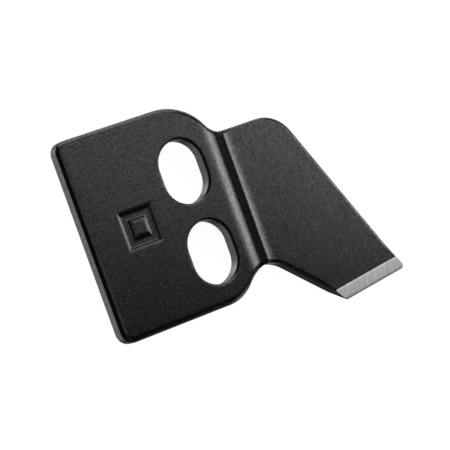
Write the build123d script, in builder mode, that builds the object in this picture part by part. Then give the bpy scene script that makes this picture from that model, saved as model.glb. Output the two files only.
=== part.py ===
"""Sewing machine fixed knife, stamped from one piece of steel sheet.

The knife is a mounting plate with two slots, a joggle that drops the blade
below the plate, and a swept blade that ends in a ground cutting edge.
It lies as it is screwed down: +Z is the front of the plate, +X runs from the
plate to the blade and +Y runs along the two slots.  The origin is the middle
of the slot pattern on the mounting face.  All sizes are in millimetres.
"""
import os
from math import radians, tan

from build123d import *

# Sheet
sheet_thickness = 1.2

# Mounting plate, measured from its lower left corner
plate_height = 16.5
plate_top_run = 11.9
plate_bottom_run = 11.41
plate_upper_left_radius = 0.95
plate_lower_left_radius = 1.05
plate_upper_right_radius = 4.78
plate_lower_right_radius = 3.65

# Slots for the two fixing screws, in one line along Y
slot_width = 4.0
slot_length = 5.2
slot_pitch = 6.75
slot_line_from_left = 10.1
slot_middle_from_bottom = 7.8

# Waist between the plate and the blade
waist_upper_x = 14.04
waist_upper_y = 13.32
waist_lower_x = 14.74
waist_lower_y = 3.06
waist_upper_radius = 1.85
waist_lower_radius = 3.0

# Blade outline
blade_shoulder_x = 20.74
blade_shoulder_radius = 3.05
toe_start_x = 27.07
toe_start_y = -1.31
toe_x = 28.09
toe_y = -2.47
heel_x = 21.51
heel_y = -3.22
toe_radius = 0.25
heel_radius = 0.2

# Joggle, as the bends of the front face
joggle_start_x = 12.74
joggle_angle = 30.0
joggle_shoulder_radius = 3.0
joggle_slope_length = 0.95
joggle_crease_radius = 0.3
run_out_angle = 15.0
run_out_radius = 4.0

# Ground cutting edge
bevel_width = 1.26
bevel_angle = 30.0
relief_width = 1.24
relief_angle = 19.0

# Edges of the front face, drawn over by the stamping
edge_radius = 0.25
slot_edge_radius = 0.2

# Faces whose normal rises more steeply than this belong to the front
face_up = 0.5

# Stock that is trimmed away round the outline
stock_margin = 5.0

# Work planes, moved so that the slot pattern is centred on the origin
plan = Plane((-slot_line_from_left, -slot_middle_from_bottom, 0))
section = Plane(plan.origin, x_dir=(1, 0, 0), z_dir=(0, -1, 0))

# Sheet bent through the joggle, seen from the lower edge
crease_angle = joggle_angle - run_out_angle
stock_left = -stock_margin
stock_right = toe_x + stock_margin
with BuildPart() as stock:
    with BuildSketch(section):
        with BuildLine():
            plate_front = Line((stock_left, sheet_thickness), (joggle_start_x, sheet_thickness))
            shoulder_front = JernArc(
                plate_front @ 1, plate_front % 1, joggle_shoulder_radius, -joggle_angle
            )
            slope_front = PolarLine(
                shoulder_front @ 1, joggle_slope_length, direction=shoulder_front % 1
            )
            crease_front = JernArc(
                slope_front @ 1, slope_front % 1, joggle_crease_radius, crease_angle
            )
            run_out_front = JernArc(
                crease_front @ 1, crease_front % 1, run_out_radius, run_out_angle
            )
            blade_front = Line(run_out_front @ 1, (stock_right, (run_out_front @ 1).Y))
            plate_back = Line((stock_left, 0), (joggle_start_x, 0))
            shoulder_back = JernArc(
                plate_back @ 1,
                plate_back % 1,
                joggle_shoulder_radius - sheet_thickness,
                -joggle_angle,
            )
            slope_back = PolarLine(
                shoulder_back @ 1, joggle_slope_length, direction=shoulder_back % 1
            )
            crease_back = JernArc(
                slope_back @ 1, slope_back % 1, joggle_crease_radius + sheet_thickness, crease_angle
            )
            run_out_back = JernArc(
                crease_back @ 1, crease_back % 1, run_out_radius + sheet_thickness, run_out_angle
            )
            blade_back = Line(run_out_back @ 1, (stock_right, (run_out_back @ 1).Y))
            Line(plate_front @ 0, plate_back @ 0)
            Line(blade_front @ 1, blade_back @ 1)
        make_face()
    extrude(amount=plate_height + stock_margin, both=True)
blade_front_z = (blade_front @ 1).Y

# Outline of the blank, seen from the front
corners = [
    ((0, 0), plate_lower_left_radius),
    ((plate_bottom_run, 0), plate_lower_right_radius),
    ((waist_lower_x, waist_lower_y), waist_lower_radius),
    ((heel_x, heel_y), heel_radius),
    ((toe_x, toe_y), toe_radius),
    ((toe_start_x, toe_start_y), 0),
    ((blade_shoulder_x, waist_upper_y), blade_shoulder_radius),
    ((waist_upper_x, waist_upper_y), waist_upper_radius),
    ((plate_top_run, plate_height), plate_upper_right_radius),
    ((0, plate_height), plate_upper_left_radius),
]
with BuildSketch(plan) as outline:
    with BuildLine():
        Polyline(*[point for point, radius in corners], close=True)
    make_face()
    for point, radius in corners:
        if radius:
            corner = outline.vertices().sort_by_distance(point)[0]
            fillet(corner, radius)

# Knife, in the order it is made: blanked and bent, then pierced, then ground
cut_direction = Vector(toe_x - heel_x, toe_y - heel_y, 0).normalized()
across_cut = Vector(cut_direction.Y, -cut_direction.X, 0)
heel_point = plan.from_local_coords(Vector(heel_x, heel_y, blade_front_z))
grinding = Plane(heel_point - across_cut * bevel_width, x_dir=across_cut, z_dir=-cut_direction)
grind_reach = bevel_width + stock_margin
bevel_drop = grind_reach * tan(radians(bevel_angle))
relief_start = bevel_width - relief_width
relief_rise = (grind_reach - relief_start) * tan(radians(relief_angle))
with BuildPart() as knife:
    add(stock.part)
    with BuildSketch():
        add(outline.sketch)
    extrude(amount=stock_margin, both=True, mode=Mode.INTERSECT)
    front = knife.faces().filter_by(lambda face: face.normal_at().Z > face_up)
    rim = [edge for edge in front.edges() if sum(edge in face.edges() for face in front) == 1]
    fillet(rim, edge_radius)

    with BuildSketch():
        with GridLocations(0, slot_pitch, 1, 2):
            SlotOverall(slot_length, slot_width, rotation=90)
    extrude(amount=sheet_thickness, mode=Mode.SUBTRACT)
    slot_walls = knife.faces(Select.LAST)
    slot_rims = slot_walls.edges().filter_by_position(Axis.Z, sheet_thickness, sheet_thickness)
    fillet(slot_rims, slot_edge_radius)

    with BuildSketch(grinding):
        with BuildLine():
            Polyline(
                (0, 0),
                (grind_reach, -bevel_drop),
                (grind_reach, stock_margin),
                (0, stock_margin),
                close=True,
            )
        make_face()
        with BuildLine():
            Polyline(
                (relief_start, -sheet_thickness),
                (grind_reach, relief_rise - sheet_thickness),
                (grind_reach, -stock_margin),
                (relief_start, -stock_margin),
                close=True,
            )
        make_face()
    extrude(amount=plate_height, both=True, mode=Mode.SUBTRACT)

os.makedirs("parts", exist_ok=True)
knife.part.label = "fixed_knife"
export_step(knife.part, "parts/fixed_knife.step")
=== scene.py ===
"""Looks of the sewing machine fixed knife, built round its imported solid.

The visible knife is one closed surface of the same form as the solid, with a
finer rim, a plain stamped recess, and finishes of black oxide and ground
steel.  Plan sizes are in millimetres from the plate's lower left corner, as
the solid's own sizes are, and the finished mesh is moved to the frame.
"""

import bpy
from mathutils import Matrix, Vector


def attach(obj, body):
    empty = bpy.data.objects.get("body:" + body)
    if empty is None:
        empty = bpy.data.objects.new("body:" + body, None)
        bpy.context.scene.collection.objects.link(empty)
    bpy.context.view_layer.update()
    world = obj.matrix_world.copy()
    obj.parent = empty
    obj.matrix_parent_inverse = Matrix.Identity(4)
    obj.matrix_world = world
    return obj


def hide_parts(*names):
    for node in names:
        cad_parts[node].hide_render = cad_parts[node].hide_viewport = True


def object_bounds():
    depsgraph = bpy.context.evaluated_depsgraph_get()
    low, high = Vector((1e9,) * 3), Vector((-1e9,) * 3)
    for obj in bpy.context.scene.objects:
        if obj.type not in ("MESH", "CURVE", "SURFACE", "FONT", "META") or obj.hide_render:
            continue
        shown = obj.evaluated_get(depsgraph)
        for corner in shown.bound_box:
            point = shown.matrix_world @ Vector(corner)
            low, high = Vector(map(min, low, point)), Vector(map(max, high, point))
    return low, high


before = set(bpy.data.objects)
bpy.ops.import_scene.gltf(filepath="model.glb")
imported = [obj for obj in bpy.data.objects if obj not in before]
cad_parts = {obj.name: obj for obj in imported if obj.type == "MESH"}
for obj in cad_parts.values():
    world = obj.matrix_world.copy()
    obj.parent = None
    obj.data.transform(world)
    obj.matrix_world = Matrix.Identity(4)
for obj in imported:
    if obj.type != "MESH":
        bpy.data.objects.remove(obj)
solid_box = [list(map(float, corner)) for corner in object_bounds()]

from functools import reduce
from math import radians
from types import SimpleNamespace

import bpy
import numpy as np
from bpy.props import FloatProperty, FloatVectorProperty, PointerProperty
from bpy.types import Operator, Panel, PropertyGroup, Scene
from mathutils import Euler, Vector

bl_info = {
    "name": "Sewing machine fixed knife",
    "version": (1, 0, 0),
    "blender": (4, 5, 0),
    "location": "View3D > Sidebar > Fixed Knife",
    "description": "Builds the fixed knife round its packed solid, with its finishes and its stage",
    "category": "Object",
}

MM = 0.001
SOLID = "fixed_knife"
OXIDE, GROUND = 0, 1

# Corners of the blank with the radius of each, from the lower left one round
BLANK = np.array([
    (0.0, 0.0, 1.05),
    (11.41, 0.0, 3.65),
    (14.74, 3.06, 3.0),
    (21.51, -3.22, 0.2),
    (28.09, -2.47, 0.25),
    (27.07, -1.31, 0.02),
    (20.74, 13.32, 3.05),
    (14.04, 13.32, 1.85),
    (11.9, 16.5, 4.78),
    (0.0, 16.5, 0.95),
])
HEEL, TOE, TOE_START, UPPER_LEFT = 3, 4, 5, 9

# Slots, in one line along Y
SLOT_PATTERN_MIDDLE = np.array([10.1, 7.8])
SLOT_MIDDLES = np.array([(10.1, 4.425), (10.1, 11.175)])
SLOT_HALF_WIDTH = 2.0
SLOT_HALF_RUN = 0.6
LEFT_SIDE, UPPER_SIDE, RIGHT_SIDE, LOWER_SIDE = range(4)

# Joggle of the front face: a shoulder, a straight slope, a crease and a run-out
SHEET = 1.2
JOGGLE_START = 12.715
SLOPE_TILT = radians(32)
RUN_OUT_TILT = radians(9.5)
SHOULDER_RADIUS = 3.2
SLOPE_RUN = 0.7385
CREASE_RADIUS = 0.8
RUN_OUT_RADIUS = 4.0
JOGGLE_RUNS = np.array([
    SHOULDER_RADIUS * SLOPE_TILT,
    SLOPE_RUN,
    CREASE_RADIUS * (SLOPE_TILT - RUN_OUT_TILT),
    RUN_OUT_RADIUS * RUN_OUT_TILT,
])
JOGGLE_TILTS = -np.array([0.0, SLOPE_TILT, SLOPE_TILT, RUN_OUT_TILT, 0.0])

# Ground edge: the bevel of the front and the relief of the back
BEVEL_WIDTH = 1.26
BEVEL_SLOPE = np.tan(radians(30))
RELIEF_WIDTH = 1.24
RELIEF_SLOPE = RELIEF_WIDTH / BEVEL_WIDTH * np.tan(radians(19))

# Shape of the rims: the power of their fall, the share by which the outer rim
# shrinks within a reach of the bevel, and the most that a back edge takes of a wall
OUTER_RIM_POWER = 3
SLOT_RIM_POWER = 1.6
RIM_TAPER = 0.65
RIM_TAPER_REACH = 1.6
BACK_EDGE_SHARE = 0.4

# Fineness of the curves that are looked up, and of the search for the rim's start
SECTION_SAMPLES = 6001
ARC_SAMPLES = 401
SIDE_SAMPLES = 301
SEARCH_STEPS = 24
LEAST_SLOPE = 1e-6

# Fineness of the mesh: zones of columns from left to right, rows, and steps down the edges
SLOT_ZONE, BLADE_ZONE, BEVEL_ZONE = 2, 4, 5
CORNER_END = 1.6
CORNER_STEPS = 14
PLAIN_STEP = 0.26
SLOT_TURN = np.linspace(0.0, np.pi, 57)
BEFORE_JOGGLE_STEP = 0.2
JOGGLE_STEPS = (26, 4, 5, 14)
BLADE_STEPS = 44
BEVEL_STEPS = 22
ROW_STEP = 0.24
MARK_WALL_STEPS = 8
RIM_SHARES = np.linspace(0.0, 1.0, 12)
WALL_SHARES = np.array([0.25, 0.5, 0.75])
BACK_EDGE_TURN = np.linspace(0.0, np.pi / 2, 5)

# How far the columns on both sides of the bevel's border keep from it, the slack
# with which a row is looked up, the distance within which points are joined, and
# the angle from which an edge of the mesh is sharp
BORDER_GAP = 1e-5
ROW_SLACK = 1e-6
WELD = 2e-5
SHARP_ANGLE = radians(28)

# Noise of the finishes: the range where most of it lies, how rough it is, and how
# fine each kind is along X, Y and Z, per metre
NOISE_RANGE = (0.3, 0.7)
NOISE_ROUGHNESS = 0.6
PLATE_GRAIN = (3400.0, 13000.0, 9000.0)
BLADE_GRAIN = (11500.0, 4000.0, 9000.0)
WALL_GRAIN = (8000.0, 8000.0, 900.0)
SAND = (14000.0, 14000.0, 14000.0)
CLOUD = (260.0, 300.0, 300.0)
GRIND_LINES = (9000.0, 500.0, 500.0)
GRIND_BANDS = (2200.0, 260.0, 260.0)
GRIND_TURN = (0.0, 0.0, radians(-6.5))

# Least and greatest shade that each noise gives, and how strongly the grain shows
GRAIN_SHADES = (0.54, 1.46)
SAND_SHADES = (0.72, 1.28)
CLOUD_SHADES = (0.97, 1.03)
LINE_SHADES = (0.80, 1.20)
BAND_SHADES = (0.90, 1.10)
PLATE_STRENGTH, BLADE_STRENGTH, WALL_STRENGTH = 1.0, 0.85, 0.55

# Sheen: reflection at a glancing angle, how far the sand changes the roughness and
# how much it adds to the relief, and the strength and distance of each relief
GLANCING = (0.35, 0.35, 0.35, 1.0)
SAND_ROUGHNESS = 0.04
SAND_RELIEF = 0.6
OXIDE_RELIEF = (0.3, 0.000002)
GROUND_RELIEF = (0.35, 0.000004)

# Areas, each as the measure at which it starts and the one from which it is full
ON_BLADE = (2.2, 3.8)  # by x in mm
ON_WALL = (0.45, 0.25)  # by the steepness of the normal
ON_FRONT = (-0.5, -0.3)  # by the normal's Z
ROUND_SLOTS = (6.8, 6.3)  # by mm from the slots' middle, with X stretched
SLOT_STRETCH = 2.7

# Tones in the colour, most of them painted light and shade, each as the two measures between which
# it passes and the shade at each
# Painted highlight on what faces +Y
UPWARD_PAINTED_HIGHLIGHT = (0.05, 0.50, 1.0, 1.6)  # by the normal's Y, here and in the next two
# Painted shade on what faces -Y
DOWNWARD_PAINTED_SHADE = (-0.75, -0.35, 0.40, 1.0)
# Painted shade on the slots' walls, with a painted glint where they face +Y
SLOT_WALL_PAINTED_SHADE_AND_GLINT = (0.30, 0.80, 0.64, 1.8)
# Painted reflection on walls that face -X
LEFT_WALL_PAINTED_REFLECTION = (-0.9, -0.5, 1.35, 1.0)  # by the normal's X, here and in the next two
# Painted shade on rims that lean towards -X
STEEP_RIM_PAINTED_SHADE = (-0.90, -0.80, 1.0, 0.15)
LEFT_RIM_PAINTED_SHADE = (-0.55, -0.20, 0.15, 1.0)
# Painted highlight along the lips of the recess
LIP_PAINTED_HIGHLIGHT_RISE = (-0.16, -0.06, 1.0, 2.0)  # by mm out of the recess, here and in the next
LIP_PAINTED_HIGHLIGHT_FALL = (-0.04, 0.06, 1.0, 0.5)
# Painted shade down the joggle, from the shoulder to the crease
JOGGLE_PAINTED_SHADE_START = (3.32, 4.02, 1.0, 0.27)  # by x in mm, here and in the next two
JOGGLE_PAINTED_SHADE_SLOPE = (4.10, 4.80, 0.27, 0.50)
JOGGLE_PAINTED_SHADE_END = (4.95, 5.30, 0.27, 1.0)
# Painted highlight along the bevel's border, then an even fall across the bevel and a darker line
# at the cutting edge
BORDER_PAINTED_HIGHLIGHT = (0.0, 0.30, 1.42, 1.0)  # by mm past the bevel's border, here and in the next two
BEVEL_TONE = (0.30, BEVEL_WIDTH, 1.0, 0.88)
CUTTING_EDGE_DARK_LINE = (BEVEL_WIDTH - 0.30, BEVEL_WIDTH - 0.12, 1.0, 0.52)

# Stage: fades of the fill light by direction, and lamps as name, degrees round
# from +X and up from the floor, distance, width, height and radiance
FILL_BOTTOM = (0.02, 0.12)
FILL_TOP_TONE = (0.45, 0.80, 1.0, 0.25)
FILL_SIDE_TONE = (-0.30, 0.30, 1.0, 0.0)
LAMPS = (
    ("strip", 2.0, 30.0, 0.15, 0.045, 0.075, 2.9),
    ("strip_top", 5.0, 50.0, 0.15, 0.040, 0.027, 0.75),
    ("side", 30.0, 57.0, 0.15, 0.075, 0.060, 0.50),
    ("overhead", 130.0, 80.0, 0.15, 0.120, 0.120, 0.25),
    ("back", 75.0, 22.0, 0.15, 0.180, 0.110, 0.60),
    ("front", -46.0, 9.0, 0.15, 0.060, 0.045, 1.8),
)
FLOOR_REACH = 3.0
FLOOR_LIFT = 0.90
SENSOR_WIDTH = 36.0
NEAREST_SEEN = 0.005
WHITE = (1.0, 1.0, 1.0, 1.0)


def length_prop(name, description, default):
    """A length, given in millimetres and kept in metres."""
    return FloatProperty(
        name=name,
        description=description,
        default=default * MM,
        min=0.0,
        unit="LENGTH",
        precision=5,
    )


def colour_prop(name, description, default):
    """A colour without transparency."""
    return FloatVectorProperty(
        name=name,
        description=description,
        default=default,
        size=3,
        min=0.0,
        max=1.0,
        subtype="COLOR",
    )


def share_prop(name, description, default):
    """A share from 0 to 1."""
    return FloatProperty(name=name, description=description, default=default, min=0.0, max=1.0)


class KnifeForm(PropertyGroup):
    """Sizes of the details that the solid leaves to the looks."""

    plate_rim_width: length_prop(
        "Plate rim width", "Width of the drawn-over rim on the plate's face", 0.62
    )
    plate_rim_depth: length_prop("Plate rim depth", "Depth of the plate's rim down the wall", 0.27)
    blade_rim_width: length_prop("Blade rim width", "Width of the rim on the blade's face", 0.34)
    blade_rim_depth: length_prop("Blade rim depth", "Depth of the blade's rim down the wall", 0.18)
    slot_rim_width: length_prop("Slot rim width", "Width of the rim round each slot", 0.17)
    slot_rim_depth: length_prop("Slot rim depth", "Depth of each slot's rim down its wall", 0.20)
    back_edge: length_prop("Back edge", "Radius of the edges of the back face", 0.05)
    mark_size: length_prop("Mark size", "Side of the square stamped recess", 3.0)
    mark_bar: length_prop("Mark bar", "Width of the recess's four bars", 0.86)
    mark_depth: length_prop("Mark depth", "Depth of the stamped recess", 0.22)
    mark_wall: length_prop("Mark wall", "Run of the recess's sloping wall in plan", 0.16)
    mark_x: length_prop("Mark x", "Middle of the recess from the plate's left edge", 4.67)
    mark_y: length_prop("Mark y", "Middle of the recess from the plate's lower edge", 8.22)


class KnifeFinish(PropertyGroup):
    """Colours and sheen of the two finishes."""

    oxide_colour: colour_prop(
        "Black oxide", "Colour of the blackened faces", (0.122, 0.1195, 0.116)
    )
    oxide_roughness: share_prop("Oxide roughness", "Roughness of the blackened faces", 0.24)
    ground_colour: colour_prop(
        "Ground steel", "Colour of the ground cutting edge", (0.575, 0.565, 0.547)
    )
    ground_roughness: share_prop("Ground roughness", "Roughness of the ground cutting edge", 0.40)


class StudioSetup(PropertyGroup):
    """Camera, surroundings and floor."""

    lens: FloatProperty(
        name="Lens",
        description="Focal length for a 36 mm sensor",
        default=173.17,
        unit="CAMERA",
    )
    camera_place: FloatVectorProperty(
        name="Camera place",
        description="Where the camera stands",
        size=3,
        default=(-0.0853217, 0.0008202, 0.1493944),
        subtype="TRANSLATION",
        unit="LENGTH",
    )
    camera_turn: FloatVectorProperty(
        name="Camera turn",
        description="How the camera is turned",
        size=3,
        default=(radians(10.53201), radians(-28.74804), radians(-22.79525)),
        subtype="EULER",
        unit="ROTATION",
    )
    floor_colour: colour_prop("Floor", "Colour of the floor", (0.86, 0.86, 0.86))
    world_level: FloatProperty(
        name="World level",
        description="Brightness of the plain surroundings",
        default=0.01,
        min=0.0,
    )
    fill_level: FloatProperty(
        name="Fill level",
        description="Brightness of the low band of fill light on the plate's side",
        default=0.20,
        min=0.0,
    )


def running_sum(values):
    """The sums of the values so far, from 0."""
    return np.concatenate([[0.0], np.cumsum(values)])


def share_along(values):
    """How far each value is on the way from the first to the last."""
    return (values - values[0]) / (values[-1] - values[0])


def smooth(share):
    """0 below 0, 1 above 1, and an even S between."""
    share = np.clip(share, 0.0, 1.0)
    return share * share * (3 - 2 * share)


def fill_in(lines, step):
    """The given lines with evenly spaced ones between them, no further apart than step."""
    lines = np.unique(np.round(lines, 9))
    runs = [
        np.linspace(low, high, max(1, int(np.ceil((high - low) / step))), endpoint=False)
        for low, high in zip(lines[:-1], lines[1:])
    ]
    return np.concatenate(runs + [lines[-1:]])


def stretch(bottom, top, left, right, u, v):
    """Grid of plan points stretched between four edges.

    A point is the blend of bottom and top, plus the blend of left and right,
    less the blend of the four corners.
    """
    u, v = u[:, None, None], v[None, :, None]
    across = (1 - v) * bottom[:, None] + v * top[:, None]
    along = (1 - u) * left[None] + u * right[None]
    start = (1 - v) * bottom[0] + v * top[0]
    end = (1 - v) * bottom[-1] + v * top[-1]
    return across + along - ((1 - u) * start + u * end)


def sheet_section():
    """Front face of the bent sheet along X: arrays of length, x, z and tilt.

    The tilt changes evenly along each arc and holds along each straight run;
    x and z are the running sums of its cosine and its sine.
    """
    ends = running_sum(JOGGLE_RUNS)
    length = np.linspace(0.0, ends[-1], SECTION_SAMPLES)
    tilt = np.interp(length, ends, JOGGLE_TILTS)
    step = np.diff(length)
    halfway = (tilt[1:] + tilt[:-1]) / 2
    x = JOGGLE_START + running_sum(np.cos(halfway) * step)
    z = SHEET + running_sum(np.sin(halfway) * step)
    return length, x, z, tilt


def blank_outline():
    """Outline of the blank as dense arrays of path length, points and outward normals.

    Each corner is an arc tangent to both of its sides: it leaves them at the
    radius times the tangent of half the turn from the corner, and its heading
    turns evenly.  The normal points to the right of the heading.  A straight
    side follows each arc.  The last array gives the path length where each
    corner's arc starts and ends.
    """
    corner, radius = BLANK[:, :2], BLANK[:, 2]
    side = corner - np.roll(corner, 1, axis=0)
    heading = np.arctan2(side[:, 1], side[:, 0])
    turn = (np.roll(heading, -1) - heading + np.pi) % (2 * np.pi) - np.pi
    along = np.stack([np.cos(heading), np.sin(heading)], axis=1)
    start = corner - along * (radius * np.tan(np.abs(turn) / 2))[:, None]
    signed = radius * np.sign(turn)
    middle = start + np.stack([-along[:, 1], along[:, 0]], axis=1) * signed[:, None]
    angle = heading[:, None] + turn[:, None] * np.linspace(0.0, 1.0, ARC_SAMPLES)
    normal = np.stack([np.sin(angle), -np.cos(angle)], axis=2)
    arcs = middle[:, None, :] + signed[:, None, None] * normal

    share = np.linspace(0.0, 1.0, SIDE_SAMPLES)[1:-1, None]
    straight = (np.roll(arcs[:, 0], -1, axis=0) - arcs[:, -1])[:, None]
    points = np.concatenate([arcs, arcs[:, -1:] + straight * share], axis=1).reshape(-1, 2)
    held = np.repeat(normal[:, -1:], len(share), axis=1)
    normals = np.concatenate([normal, held], axis=1).reshape(-1, 2)
    points = np.vstack([points, points[:1]])
    normals = np.vstack([normals, normals[:1]])
    length = running_sum(np.hypot(*np.diff(points, axis=0).T))
    arc_ends = length[:-1].reshape(len(BLANK), -1)[:, [0, ARC_SAMPLES - 1]]
    return length, points, normals, arc_ends


def across_cut():
    """Direction in plan that leads out of the blade, straight across the cutting edge."""
    cut = BLANK[TOE, :2] - BLANK[HEEL, :2]
    return np.array([cut[1], -cut[0]]) / np.hypot(*cut)


class Surface:
    """Patches that are welded into one mesh, each with the number of its finish."""

    def __init__(self):
        self.points, self.faces, self.finishes = [], [], []
        self.count = 0

    def add(self, grid, finish=OXIDE, flip=False):
        """Adds a grid of points, whose faces look along the first direction times the second."""
        n, m = grid.shape[:2]
        index = self.count + np.arange(n * m).reshape(n, m)
        corners = [index[:-1, :-1], index[1:, :-1], index[1:, 1:], index[:-1, 1:]]
        faces = np.stack(corners, axis=2).reshape(-1, 4)
        self.points.append(grid.reshape(-1, 3))
        self.faces.append(faces[:, ::-1] if flip else faces)
        self.finishes.append(np.full(len(faces), finish))
        self.count += n * m

    def mesh(self, name, shift):
        """Joins points that coincide and drops the sides of faces that have closed up."""
        points = np.vstack(self.points)
        key = np.round(points / WELD).astype(np.int64)
        first, joined = np.unique(key, axis=0, return_index=True, return_inverse=True)[1:]
        faces = joined.reshape(-1)[np.vstack(self.faces)]
        finishes = np.concatenate(self.finishes)
        closed = faces == np.roll(faces, -1, axis=1)
        whole, one = (closed.sum(axis=1) == count for count in (0, 1))
        triangles = faces[one][~closed[one]].reshape(-1, 3)
        mesh = bpy.data.meshes.new(name)
        joined_points = (points[first] + shift) * MM
        mesh.from_pydata(joined_points, [], faces[whole].tolist() + triangles.tolist())
        order = np.concatenate([finishes[whole], finishes[one]])
        mesh.polygons.foreach_set("material_index", order.astype(np.int32))
        mesh.shade_smooth()
        mesh.set_sharp_from_angle(angle=SHARP_ANGLE)
        mesh.validate()
        mesh.update()
        return mesh


class KnifeShape:
    """The knife's surface as functions of the plan, and the grids that cover it."""

    def __init__(self, form):
        self.size = SimpleNamespace(
            **{name: getattr(form, name) / MM for name in form.__annotations__}
        )
        self.run, self.front_x, self.front_z, tilt = sheet_section()
        self.back_x = self.front_x + SHEET * np.sin(tilt)
        self.back_z = self.front_z - SHEET * np.cos(tilt)
        self.length, self.points, self.normals, self.arc_ends = blank_outline()
        self.across = across_cut()
        self.rows, self.slot_rows = self.lay_rows()
        self.places, self.stops = self.lay_columns()

    def past_border(self, plan):
        """How far a plan point lies past the bevel's border, towards the cutting edge."""
        return (plan - BLANK[HEEL, :2]) @ self.across + BEVEL_WIDTH

    def recess(self, plan):
        """Depth of the square ring: full between its two squares, with an S-shaped wall.

        The distance from the middle is the larger of the two offsets, so its
        level lines are squares.
        """
        size = self.size
        from_middle = np.abs(plan - np.array([size.mark_x, size.mark_y])).max(axis=-1)
        outer = size.mark_size / 2
        inner = outer - size.mark_bar
        within = smooth((outer - from_middle) / size.mark_wall)
        without = smooth((from_middle - inner) / size.mark_wall)
        return size.mark_depth * within * without

    def bevel(self, plan):
        """Height of the bevel's plane, which starts at the border and falls beyond it."""
        return self.front_z[-1] - BEVEL_SLOPE * self.past_border(plan)

    def front(self, plan):
        """Height of the front: the bent sheet less the recess, or the bevel where it is lower."""
        sheet = np.interp(plan[..., 0], self.front_x, self.front_z) - self.recess(plan)
        return np.minimum(sheet, self.bevel(plan))

    def back(self, plan):
        """Height of the back: the bent sheet, or the relief's plane where that is higher."""
        sheet = np.interp(plan[..., 0], self.back_x, self.back_z)
        return np.maximum(sheet, self.back_z[-1] + RELIEF_SLOPE * self.past_border(plan))

    def outline_at(self, length):
        """Plan points and outward normals at the given path lengths."""
        point, normal = (
            np.stack([np.interp(length, self.length, array[:, axis]) for axis in (0, 1)], axis=1)
            for array in (self.points, self.normals)
        )
        return point, normal / np.hypot(*normal.T)[:, None]

    def rim_sizes(self, point):
        """Width and depth of the rim, which pass from the plate's to the blade's on the joggle.

        Both shrink towards the bevel, so that its corners stay crisp.
        """
        size = self.size
        share = smooth((point[:, 0] - self.front_x[0]) / (self.front_x[-1] - self.front_x[0]))
        width = size.plate_rim_width + share * (size.blade_rim_width - size.plate_rim_width)
        depth = size.plate_rim_depth + share * (size.blade_rim_depth - size.plate_rim_depth)
        taper = 1 - RIM_TAPER * smooth(1 + self.past_border(point) / RIM_TAPER_REACH)
        return width * taper, depth * taper

    def rim_start(self, point, normal, width, depth):
        """Share of the rim at which it comes out of the bevel: 0 where it is whole.

        The rim lies its depth times a power of the share below the face, and
        the bevel's depth changes evenly with the share.  Newton's steps from
        the wall inwards find where the two meet.
        """
        power = OUTER_RIM_POWER
        lean = BEVEL_SLOPE * width * (normal @ self.across)
        drop = BEVEL_SLOPE * self.past_border(point) - lean
        share = np.ones_like(drop)
        for _ in range(SEARCH_STEPS):
            gap = depth * share**power - lean * share - drop
            slope = np.maximum(power * depth * share ** (power - 1) - lean, LEAST_SLOPE)
            share = np.clip(share - gap / slope, 0.0, 1.0)
        return np.where(drop > 0, share, 0.0)

    def edge_rows(self, point, normal, width, depth, start, power):
        """Grid down an edge: the drawn-over rim, the wall and the small radius of the back edge.

        The rim lies its depth times a power of the share below the face: it
        leaves the face level and meets the wall at an angle.  The wall runs
        straight down, and the back edge is a quarter of a circle, which shrinks
        where the wall is low.
        """
        share = start[:, None] + (1 - start[:, None]) * RIM_SHARES
        plan = point[:, None] - normal[:, None] * (width[:, None] * (1 - share))[..., None]
        sheet = np.interp(plan[..., 0], self.front_x, self.front_z) - depth[:, None] * share**power
        rim = np.dstack([plan, np.minimum(sheet, self.bevel(plan))])
        top = rim[:, -1, 2]
        radius = np.minimum(self.size.back_edge, BACK_EDGE_SHARE * (top - self.back(point)))
        inwards = radius[:, None] * (1 - np.cos(BACK_EDGE_TURN))
        plan = point[:, None] - normal[:, None] * inwards[..., None]
        height = self.back(plan) + radius[:, None] * (1 - np.sin(BACK_EDGE_TURN))
        edge = np.dstack([plan, height])
        height = top[:, None] + WALL_SHARES * (edge[:, 0, 2] - top)[:, None]
        wall = np.dstack([np.repeat(point[:, None], len(WALL_SHARES), axis=1), height])
        return np.concatenate([rim, wall, edge], axis=1)

    def outer_edge(self, length):
        """Edge grid of the blank's outline at the given path lengths."""
        point, normal = self.outline_at(length)
        width, depth = self.rim_sizes(point)
        start = self.rim_start(point, normal, width, depth)
        return self.edge_rows(point, normal, width, depth, start, OUTER_RIM_POWER)

    def slot_edge(self, middle, angle, run):
        """Edge grid of a slot: half its width out from its axis, at an angle from its left side."""
        out = np.stack([-np.cos(angle), np.sin(angle)], axis=1)
        point = middle + np.stack([np.zeros_like(run), run], axis=1) + SLOT_HALF_WIDTH * out
        width = np.full(len(point), self.size.slot_rim_width)
        depth = np.full(len(point), self.size.slot_rim_depth)
        return self.edge_rows(point, -out, width, depth, np.zeros(len(point)), SLOT_RIM_POWER)

    def slot_sides(self, middle, run):
        """Edge grids of a slot's left, upper, right and lower sides.

        The run holds the rows along its straight sides, from its middle.
        """
        level = np.full(len(SLOT_TURN), SLOT_HALF_RUN)
        return [
            self.slot_edge(middle, np.zeros(len(run)), run),
            self.slot_edge(middle, SLOT_TURN, level),
            self.slot_edge(middle, np.full(len(run), np.pi), run),
            self.slot_edge(middle, -SLOT_TURN, -level),
        ]

    def mark_lines(self):
        """Lines of the mesh all along the recess's walls, from its middle."""
        size = self.size
        outer = size.mark_size / 2
        inner = outer - size.mark_bar
        run = size.mark_wall * np.linspace(0.0, 1.0, MARK_WALL_STEPS + 1)
        walls = np.concatenate([outer - run, inner + run])
        return np.concatenate([-walls, walls])

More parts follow.
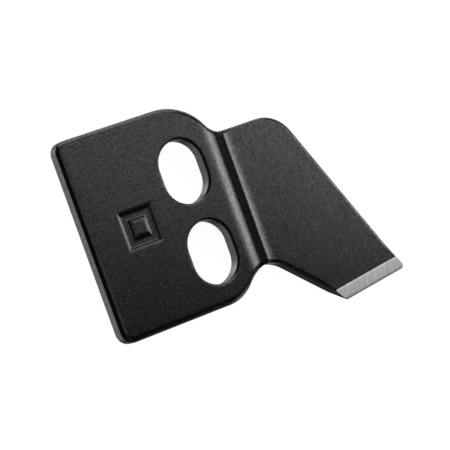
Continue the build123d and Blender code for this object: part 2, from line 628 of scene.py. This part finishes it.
    def lay_rows(self):
        """Rows from the plate's lower edge to its upper one, by y.

        The second array numbers the rows where each slot's straight sides
        start and end.
        """
        rim, height = self.size.plate_rim_width, BLANK[UPPER_LEFT, 1]
        turns = SLOT_MIDDLES[:, 1:] + np.array([-SLOT_HALF_RUN, SLOT_HALF_RUN])
        mark = self.size.mark_y + self.mark_lines()
        rows = fill_in(np.concatenate([[rim, height - rim], turns.ravel(), mark]), ROW_STEP)
        return rows, np.searchsorted(rows, turns - ROW_SLACK)

    def lay_columns(self):
        """Columns from the left edge to the cutting edge, and the stops between their zones.

        The zones are the left corners, the plain plate, the slots, the joggle,
        the blade and the bevel.  A column's place is its x on the front as far
        as the joggle, and goes on in even steps on the blade and the bevel.
        """
        size = self.size
        rim, slot_x = size.plate_rim_width, SLOT_MIDDLES[0, 0]
        slot_reach = SLOT_HALF_WIDTH + size.slot_rim_width
        quarter = np.linspace(0.0, np.pi / 2, CORNER_STEPS + 1)
        corner = rim + (CORNER_END - rim) * (1 - np.cos(quarter))
        mark = size.mark_x + self.mark_lines()
        plain = fill_in(np.concatenate([[CORNER_END, slot_x - slot_reach], mark]), PLAIN_STEP)
        beside_slots = slot_x - slot_reach * np.cos(SLOT_TURN)
        ends = running_sum(JOGGLE_RUNS)
        bends = [
            np.linspace(low, high, steps, endpoint=False)
            for low, high, steps in zip(ends[:-1], ends[1:], JOGGLE_STEPS)
        ]
        bends = np.interp(np.concatenate(bends + [ends[-1:]]), self.run, self.front_x)
        before_bends = fill_in([slot_x + slot_reach, JOGGLE_START], BEFORE_JOGGLE_STEP)
        joggle = np.concatenate([before_bends[:-1], bends])
        zones = [corner, plain, beside_slots, joggle]
        even = joggle[-1] + np.arange(1, BLADE_STEPS + BEVEL_STEPS + 1)
        places = np.concatenate([corner] + [zone[1:] for zone in zones[1:]] + [even])
        steps = [len(zone) - 1 for zone in zones] + [BLADE_STEPS, BEVEL_STEPS]
        return places, running_sum(steps).astype(int)

    def edge_lengths(self):
        """Path lengths where the columns end on the lower edge and on the upper one.

        As far as the joggle, a column ends where its x meets the inner side of
        the rim.  On the blade the lengths are even up to the bevel's border,
        and on the bevel they are even from there to the cutting edge.
        """
        length = self.length
        width, depth = self.rim_sizes(self.points)
        start = self.rim_start(self.points, self.normals, width, depth)
        inner = self.points - self.normals * (width * (1 - start))[:, None]
        past = self.past_border(self.points - self.normals * width[:, None])
        heel_start, heel_end = self.arc_ends[HEEL]
        toe_start, left_top = self.arc_ends[TOE, 0], self.arc_ends[UPPER_LEFT, 1]
        low_side = length <= heel_start
        high_side = (length >= self.arc_ends[TOE_START, 1]) & (length <= left_top)
        columns = self.places[:self.stops[BLADE_ZONE] + 1]
        low = np.interp(columns, inner[low_side, 0], length[low_side])
        high = np.interp(-columns, -inner[high_side, 0], length[high_side])
        low[0], high[0] = 0.0, left_top

        below = low_side & (length > low[-1])
        above = (length >= toe_start) & (length < high[-1])
        low_border = np.interp(0.0, past[below], length[below])
        high_border = np.interp(0.0, -past[above], length[above])
        blade = np.linspace(0.0, 1.0, BLADE_STEPS + 1)[1:]
        bevel = np.linspace(0.0, 1.0, BEVEL_STEPS)
        low = np.concatenate([
            low,
            low[-1] + (low_border - BORDER_GAP - low[-1]) * blade,
            low_border + BORDER_GAP + (heel_end - low_border - BORDER_GAP) * bevel,
        ])
        high = np.concatenate([
            high,
            high[-1] + (high_border + BORDER_GAP - high[-1]) * blade,
            high_border - BORDER_GAP + (toe_start - high_border + BORDER_GAP) * bevel,
        ])
        return low, high

    def face_zones(self, edges, slots):
        """Plan grids of one face with the finish of each, from left to right.

        The edges are the plan points of the lower, the upper, the cutting and
        the left edge, and each slot has those of its four sides.  A grid is
        stretched from one zone's seam to the next, and the slots' zone has
        three of them: below, between and above the slots.
        """
        low, high, cut, left = edges
        rows, stops = self.rows, self.stops
        whole = np.array([0, len(rows) - 1])
        parted = np.concatenate([whole[:1], self.slot_rows.ravel(), whole[1:]])

        def seam(stop, side=None):
            """Points down the column at a stop, all even or along that side of the slots."""
            ends = [low[stops[stop]], high[stops[stop]]]
            if side is None:
                knots, at = ends, rows[whole]
            else:
                turns = [slot[side][end] for slot in slots for end in (0, -1)]
                knots, at = [ends[0], *turns, ends[1]], rows[parted]
            knots = np.array(knots)
            return np.stack([np.interp(rows, at, knots[:, axis]) for axis in (0, 1)], axis=1)

        seams = [seam(stop) for stop in range(len(stops))]
        seams[0], seams[-1] = left, cut
        seams[SLOT_ZONE] = seam(SLOT_ZONE, LEFT_SIDE)
        seams[SLOT_ZONE + 1] = seam(SLOT_ZONE + 1, RIGHT_SIDE)
        for zone in range(len(stops) - 1):
            columns = slice(stops[zone], stops[zone + 1] + 1)
            u = share_along(self.places[columns])
            bounds, row_ends = [low[columns], high[columns]], whole
            if zone == SLOT_ZONE:
                turns = [slot[side] for slot in slots for side in (LOWER_SIDE, UPPER_SIDE)]
                bounds, row_ends = [bounds[0], *turns, bounds[1]], parted
            for k in range(0, len(bounds), 2):
                span = slice(row_ends[k], row_ends[k + 1] + 1)
                before, after = seams[zone][span], seams[zone + 1][span]
                v = share_along(rows[span])
                plan = stretch(bounds[k], bounds[k + 1], before, after, u, v)
                yield plan, GROUND if zone == BEVEL_ZONE else OXIDE

    def build(self):
        """All of the grids: the outer edge, the slots' edges and the zones of both faces."""
        surface, share = Surface(), share_along(self.rows)
        low, high = self.edge_lengths()
        heel_end, toe_start = self.arc_ends[HEEL, 1], self.arc_ends[TOE, 0]
        left_top, left_bottom = self.arc_ends[UPPER_LEFT, 1], self.length[-1]
        cut = heel_end + (toe_start - heel_end) * share
        left = left_bottom + (left_top - left_bottom) * share
        once_round = np.concatenate([low[:-1], cut[:-1], high[:0:-1], left[::-1]])
        surface.add(self.outer_edge(once_round), flip=True)
        edges = [self.outer_edge(length) for length in (low, high, cut, left)]
        slots = [
            self.slot_sides(middle, self.rows[first:last + 1] - middle[1])
            for middle, (first, last) in zip(SLOT_MIDDLES, self.slot_rows)
        ]
        for left_side, upper, right_side, lower in slots:
            once_round = [left_side, upper[1:], right_side[-2::-1], lower[-2::-1]]
            surface.add(np.concatenate(once_round), flip=True)

        # The front meets the first row of each edge grid and the back meets the last
        for row, height_at, flip in ((0, self.front, False), (-1, self.back, True)):
            outer = [grid[:, row, :2] for grid in edges]
            inner = [[grid[:, row, :2] for grid in sides] for sides in slots]
            for plan, finish in self.face_zones(outer, inner):
                surface.add(np.dstack([plan, height_at(plan)]), finish, flip)
        return surface


class NodeBench:
    """Adds and links the nodes of one material or of the surroundings."""

    def __init__(self, owner):
        self.owner = owner
        owner.use_nodes = True
        self.tree = owner.node_tree
        self.tree.nodes.clear()

    def add(self, kind, inputs=None, **settings):
        """Adds a node, with its settings, and links or sets its inputs."""
        node = self.tree.nodes.new(kind)
        for key, value in settings.items():
            setattr(node, key, value)
        for key, value in (inputs or {}).items():
            if isinstance(value, bpy.types.NodeSocket):
                self.tree.links.new(value, node.inputs[key])
            else:
                node.inputs[key].default_value = value
        return node

    def split(self, vector):
        """The X, Y and Z of a vector."""
        return tuple(self.add("ShaderNodeSeparateXYZ", {0: vector}).outputs)

    def in_mm(self, place):
        """A place in metres, in millimetres."""
        inputs = {0: place, "Scale": 1 / MM}
        return self.add("ShaderNodeVectorMath", inputs, operation="SCALE").outputs["Vector"]

    def streaks(self, place, scale, detail):
        """Noise whose grain is drawn out by the given scale on each axis."""
        mapping = self.add("ShaderNodeMapping", {"Vector": place, "Scale": scale})
        inputs = {
            "Vector": mapping.outputs["Vector"],
            "Scale": 1.0,
            "Detail": detail,
            "Roughness": NOISE_ROUGHNESS,
        }
        return self.add("ShaderNodeTexNoise", inputs).outputs["Fac"]

    def pass_over(self, value, start, end, low=0.0, high=1.0, shape="SMOOTHSTEP"):
        """Passes from low to high while the value goes from start to end."""
        inputs = {"Value": value, "From Min": start, "From Max": end, "To Min": low, "To Max": high}
        return self.add("ShaderNodeMapRange", inputs, interpolation_type=shape).outputs["Result"]

    def spread(self, value, low, high):
        """Maps the range where most of a noise lies to low and high."""
        return self.pass_over(value, *NOISE_RANGE, low, high, "LINEAR")

    def math(self, operation, first, second=0.0):
        """The operation on the two numbers."""
        return self.add("ShaderNodeMath", {0: first, 1: second}, operation=operation).outputs[0]

    def times(self, *factors):
        """The product of all of the factors."""
        return reduce(lambda first, second: self.math("MULTIPLY", first, second), factors)

    def greatest(self, *values):
        """The greatest of all of the values."""
        return reduce(lambda first, second: self.math("MAXIMUM", first, second), values)

    def distance(self, value, middle=0.0):
        """How far the value is from the middle, on either side."""
        return self.math("ABSOLUTE", self.math("SUBTRACT", value, middle))

    def mix(self, share, first, second):
        """The first number, giving way to the second as the share goes from 0 to 1."""
        inputs = {0: share, 2: first, 3: second}
        return self.add("ShaderNodeMix", inputs, data_type="FLOAT").outputs[0]

    def tint(self, colour, shade):
        """The colour times the shade at each point."""
        inputs = {0: tuple(colour), 1: shade}
        return self.add("ShaderNodeVectorMath", inputs, operation="MULTIPLY").outputs[0]

    def bumps(self, height, strength, distance):
        """Normal of a surface that the height roughens."""
        inputs = {"Height": height, "Strength": strength, "Distance": distance}
        return self.add("ShaderNodeBump", inputs).outputs["Normal"]

    def close(self, shader, output="ShaderNodeOutputMaterial"):
        """Links the shader to an output and gives back the owner of the nodes."""
        self.add(output, {"Surface": shader.outputs[0]})
        return self.owner


def black_oxide(finish, form):
    """Blackened rolled sheet: satin and slightly sandy.

    The grain runs along the plate, turns at the joggle to run along the
    bend on the blade, and runs straight down the stamped walls.  Light and
    shade are painted into the colour: a painted reflection lightens the
    walls that face -X, a painted highlight lies on what faces +Y and on the
    lips of the recess, and the slots' walls carry painted shade with a
    painted glint where they face +Y.  Painted shade darkens what faces -Y,
    the drawn rims that lean towards -X, and the joggle from its shoulder
    to its crease.
    """
    bench = NodeBench(bpy.data.materials.new("black_oxide"))
    coordinates = bench.add("ShaderNodeTexCoord").outputs
    place = coordinates["Object"]
    x, y, _ = bench.split(bench.in_mm(place))
    facing_x, facing_y, facing_z = bench.split(coordinates["Normal"])

    # Areas
    on_blade = bench.pass_over(x, *ON_BLADE)
    on_wall = bench.pass_over(bench.distance(facing_z), *ON_WALL)
    on_front = bench.pass_over(facing_z, *ON_FRONT)
    from_slots = bench.greatest(
        bench.math("MULTIPLY", bench.distance(x), SLOT_STRETCH), bench.distance(y)
    )
    on_slot_wall = bench.times(on_wall, bench.pass_over(from_slots, *ROUND_SLOTS))

    # Grain
    sheet_grain = bench.mix(
        on_blade,
        bench.streaks(place, PLATE_GRAIN, detail=1.0),
        bench.streaks(place, BLADE_GRAIN, detail=1.0),
    )
    grain = bench.mix(on_wall, sheet_grain, bench.streaks(place, WALL_GRAIN, detail=3.0))
    strength = bench.mix(
        on_wall, bench.mix(on_blade, PLATE_STRENGTH, BLADE_STRENGTH), WALL_STRENGTH
    )
    sand = bench.streaks(place, SAND, detail=1.0)
    cloud = bench.streaks(place, CLOUD, detail=2.0)

    # Painted shade on rims that lean towards -X, painted highlight on the lips of the recess, and
    # painted shade down the joggle
    drawn = bench.greatest(
        bench.pass_over(facing_x, *STEEP_RIM_PAINTED_SHADE), bench.pass_over(facing_x, *LEFT_RIM_PAINTED_SHADE)
    )
    mark_x = form.mark_x / MM - SLOT_PATTERN_MIDDLE[0]
    mark_y = form.mark_y / MM - SLOT_PATTERN_MIDDLE[1]
    from_mark = bench.greatest(bench.distance(x, mark_x), bench.distance(y, mark_y))
    from_lip = bench.math("SUBTRACT", from_mark, form.mark_size / MM / 2)
    # Painted highlight in a band along the recess's lips
    painted_lip_highlight = bench.times(
        bench.pass_over(from_lip, *LIP_PAINTED_HIGHLIGHT_RISE), bench.pass_over(from_lip, *LIP_PAINTED_HIGHLIGHT_FALL)
    )
    # Painted shade down the joggle, from the shoulder to the crease
    painted_joggle_shade = bench.greatest(
        bench.pass_over(x, *JOGGLE_PAINTED_SHADE_START),
        bench.pass_over(x, *JOGGLE_PAINTED_SHADE_SLOPE, "LINEAR"),
        bench.pass_over(x, *JOGGLE_PAINTED_SHADE_END),
    )
    shade = bench.times(
        bench.mix(strength, 1.0, bench.spread(grain, *GRAIN_SHADES)),
        bench.spread(sand, *SAND_SHADES),
        bench.spread(cloud, *CLOUD_SHADES),
        # Painted highlight where the surface faces +Y
        bench.pass_over(facing_y, *UPWARD_PAINTED_HIGHLIGHT),
        # Painted shade where the surface faces -Y, away from the slots' walls
        bench.mix(on_slot_wall, bench.pass_over(facing_y, *DOWNWARD_PAINTED_SHADE), 1.0),
        # Painted shade on the slots' walls, with a painted glint where they face +Y
        bench.mix(on_slot_wall, 1.0, bench.pass_over(facing_y, *SLOT_WALL_PAINTED_SHADE_AND_GLINT)),
        # Painted reflection that lightens walls facing -X
        bench.mix(on_wall, 1.0, bench.pass_over(facing_x, *LEFT_WALL_PAINTED_REFLECTION)),
        # Painted shade on rims that lean towards -X
        bench.mix(on_wall, drawn, 1.0),
        # Painted highlight on the recess's lips
        bench.mix(on_front, 1.0, painted_lip_highlight),
        # Painted shade down the joggle, from the shoulder to the crease
        bench.mix(on_front, 1.0, painted_joggle_shade),
    )
    rough = finish.oxide_roughness
    relief = bench.math("ADD", grain, bench.math("MULTIPLY", sand, SAND_RELIEF))
    shader = bench.add(
        "ShaderNodeBsdfPrincipled",
        {
            "Base Color": bench.tint(finish.oxide_colour, shade),
            "Metallic": 1.0,
            "Specular Tint": GLANCING,
            "Roughness": bench.spread(sand, rough - SAND_ROUGHNESS, rough + SAND_ROUGHNESS),
            "Normal": bench.bumps(relief, *OXIDE_RELIEF),
        },
    )
    return bench.close(shader)


def ground_steel(finish):
    """Bare steel with fine grinding lines straight across the cutting edge.

    A painted highlight makes it brightest along the border with the oxide;
    its colour falls off towards the cutting edge and is darker in a hair's
    width at the cutting edge.
    """
    bench = NodeBench(bpy.data.materials.new("ground_steel"))
    place = bench.add("ShaderNodeTexCoord").outputs["Object"]
    turned = bench.add("ShaderNodeMapping", {"Vector": place, "Rotation": GRIND_TURN}).outputs[0]
    lines = bench.streaks(turned, GRIND_LINES, detail=4.0)
    bands = bench.streaks(turned, GRIND_BANDS, detail=2.0)
    across = across_cut()
    border = float((BLANK[HEEL, :2] - SLOT_PATTERN_MIDDLE) @ across) - BEVEL_WIDTH
    inputs = {0: bench.in_mm(place), 1: (*across, 0.0)}
    reach = bench.add("ShaderNodeVectorMath", inputs, operation="DOT_PRODUCT").outputs["Value"]
    past_border = bench.math("SUBTRACT", reach, border)
    shade = bench.times(
        bench.spread(lines, *LINE_SHADES),
        bench.spread(bands, *BAND_SHADES),
        # Painted highlight along the bevel's border
        bench.pass_over(past_border, *BORDER_PAINTED_HIGHLIGHT),
        bench.pass_over(past_border, *BEVEL_TONE, "LINEAR"),
        # Darker in a hair's width at the cutting edge
        bench.pass_over(past_border, *CUTTING_EDGE_DARK_LINE),
    )
    shader = bench.add(
        "ShaderNodeBsdfPrincipled",
        {
            "Base Color": bench.tint(finish.ground_colour, shade),
            "Metallic": 1.0,
            "Roughness": finish.ground_roughness,
            "Normal": bench.bumps(lines, *GROUND_RELIEF),
        },
    )
    return bench.close(shader)


def floor_paint(studio):
    """Pale matte floor that carries the shadow.

    It is lifted towards white where the camera sees it, directly or in a
    reflection.
    """
    bench = NodeBench(bpy.data.materials.new("floor_paint"))
    path = bench.add("ShaderNodeLightPath").outputs
    seen = bench.greatest(path["Is Camera Ray"], path["Is Glossy Ray"])
    matte = bench.add("ShaderNodeBsdfDiffuse", {"Color": (*studio.floor_colour, 1.0)}).outputs[0]
    lift = bench.add("ShaderNodeEmission", {"Color": WHITE, "Strength": FLOOR_LIFT}).outputs[0]
    lifted = bench.add("ShaderNodeAddShader", {0: matte, 1: lift}).outputs[0]
    return bench.close(bench.add("ShaderNodeMixShader", {0: seen, 1: matte, 2: lifted}))


def surroundings(studio):
    """World that is white to the camera and otherwise dim and plain.

    A low band of fill light stands on the plate's side: it fades in just above
    the floor, fades out overhead and ends towards the blade's side.
    """
    bench = NodeBench(bpy.data.worlds.new("surroundings"))
    x, _, z = bench.split(bench.add("ShaderNodeTexCoord").outputs["Generated"])
    fill = bench.times(
        bench.pass_over(z, *FILL_BOTTOM, 0.0, studio.fill_level),
        bench.pass_over(z, *FILL_TOP_TONE),
        bench.pass_over(x, *FILL_SIDE_TONE),
    )
    strength = bench.math("ADD", fill, studio.world_level)
    around = bench.add("ShaderNodeBackground", {"Color": WHITE, "Strength": strength}).outputs[0]
    backdrop = bench.add("ShaderNodeBackground", {"Color": WHITE}).outputs[0]
    seen = bench.add("ShaderNodeLightPath").outputs["Is Camera Ray"]
    chosen = bench.add("ShaderNodeMixShader", {0: seen, 1: around, 2: backdrop})
    return bench.close(chosen, "ShaderNodeOutputWorld")


def floor_piece(studio):
    """Square of floor at the height of the solid's lowest point."""
    level = solid_box[0][2]
    corners = [
        (x * FLOOR_REACH, y * FLOOR_REACH, level) for x, y in ((-1, -1), (1, -1), (1, 1), (-1, 1))
    ]
    mesh = bpy.data.meshes.new("floor")
    mesh.from_pydata(corners, [], [(0, 1, 2, 3)])
    mesh.materials.append(floor_paint(studio))
    return bpy.data.objects.new("floor", mesh)


def lamp_piece(name, around, up, distance, width, height, radiance):
    """Rectangular lamp that faces the middle of the knife."""
    light = bpy.data.lights.new(name, "AREA")
    light.shape = "RECTANGLE"
    light.size, light.size_y = width, height
    light.energy = radiance * np.pi * width * height  # the power that gives this radiance
    lamp = bpy.data.objects.new(name, light)
    low, high = solid_box
    middle = Vector(((low[0] + high[0]) / 2, (low[1] + high[1]) / 2, 0.0))
    turn = Euler((0.0, -radians(up), radians(around)))
    towards = turn.to_matrix() @ Vector((1.0, 0.0, 0.0))
    lamp.location = middle + distance * towards
    lamp.rotation_euler = (-towards).to_track_quat("-Z", "Y").to_euler()
    lamp.visible_camera = False
    return lamp


def camera_piece(studio):
    """Camera at the photograph's place, with its lens."""
    data = bpy.data.cameras.new("camera")
    data.sensor_width = SENSOR_WIDTH
    data.lens = studio.lens
    data.clip_start = NEAREST_SEEN
    camera = bpy.data.objects.new("camera", data)
    camera.location = studio.camera_place
    camera.rotation_euler = Euler(studio.camera_turn, "XYZ")
    return camera


class KNIFE_OT_body(Operator):
    """Build the knife's surface and give it its finishes"""

    bl_idname = "fixed_knife.body"
    bl_label = "Knife"

    def execute(self, context):
        scene = context.scene
        shift = np.array([*-SLOT_PATTERN_MIDDLE, 0.0])
        mesh = KnifeShape(scene.knife_form).build().mesh("knife_body", shift)
        mesh.materials.append(black_oxide(scene.knife_finish, scene.knife_form))
        mesh.materials.append(ground_steel(scene.knife_finish))
        knife = bpy.data.objects.new("knife_body", mesh)
        scene.collection.objects.link(knife)
        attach(knife, "root")
        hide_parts(SOLID)
        return {"FINISHED"}


class KNIFE_OT_stage(Operator):
    """Set up the floor, the lamps, the surroundings and the camera"""

    bl_idname = "fixed_knife.stage"
    bl_label = "Stage"

    def execute(self, context):
        scene, studio = context.scene, context.scene.knife_studio
        floor = floor_piece(studio)
        scene.collection.objects.link(floor)
        for lamp in LAMPS:
            scene.collection.objects.link(lamp_piece(*lamp))
        scene.world = surroundings(studio)
        scene.camera = camera_piece(studio)
        scene.collection.objects.link(scene.camera)
        scene.view_settings.view_transform = "Standard"
        return {"FINISHED"}


class KNIFE_PT_sidebar(Panel):
    """Lists the knife's sizes, finishes and stage."""

    bl_idname = "KNIFE_PT_sidebar"
    bl_label = "Fixed Knife"
    bl_space_type = "VIEW_3D"
    bl_region_type = "UI"
    bl_category = "Fixed Knife"

    def draw(self, context):
        groups = (
            (context.scene.knife_form, KNIFE_OT_body.bl_idname),
            (context.scene.knife_finish, None),
            (context.scene.knife_studio, KNIFE_OT_stage.bl_idname),
        )
        for group, operator in groups:
            column = self.layout.column()
            for name in group.__annotations__:
                column.prop(group, name)
            if operator:
                column.operator(operator)


CLASSES = (KnifeForm, KnifeFinish, StudioSetup, KNIFE_OT_body, KNIFE_OT_stage, KNIFE_PT_sidebar)


def register():
    for cls in CLASSES:
        bpy.utils.register_class(cls)
    Scene.knife_form = PointerProperty(type=KnifeForm)
    Scene.knife_finish = PointerProperty(type=KnifeFinish)
    Scene.knife_studio = PointerProperty(type=StudioSetup)


def unregister():
    del Scene.knife_studio, Scene.knife_finish, Scene.knife_form
    for cls in reversed(CLASSES):
        bpy.utils.unregister_class(cls)


def main():
    register()
    bpy.ops.fixed_knife.body()
    bpy.ops.fixed_knife.stage()


if __name__ == "__main__":
    main()
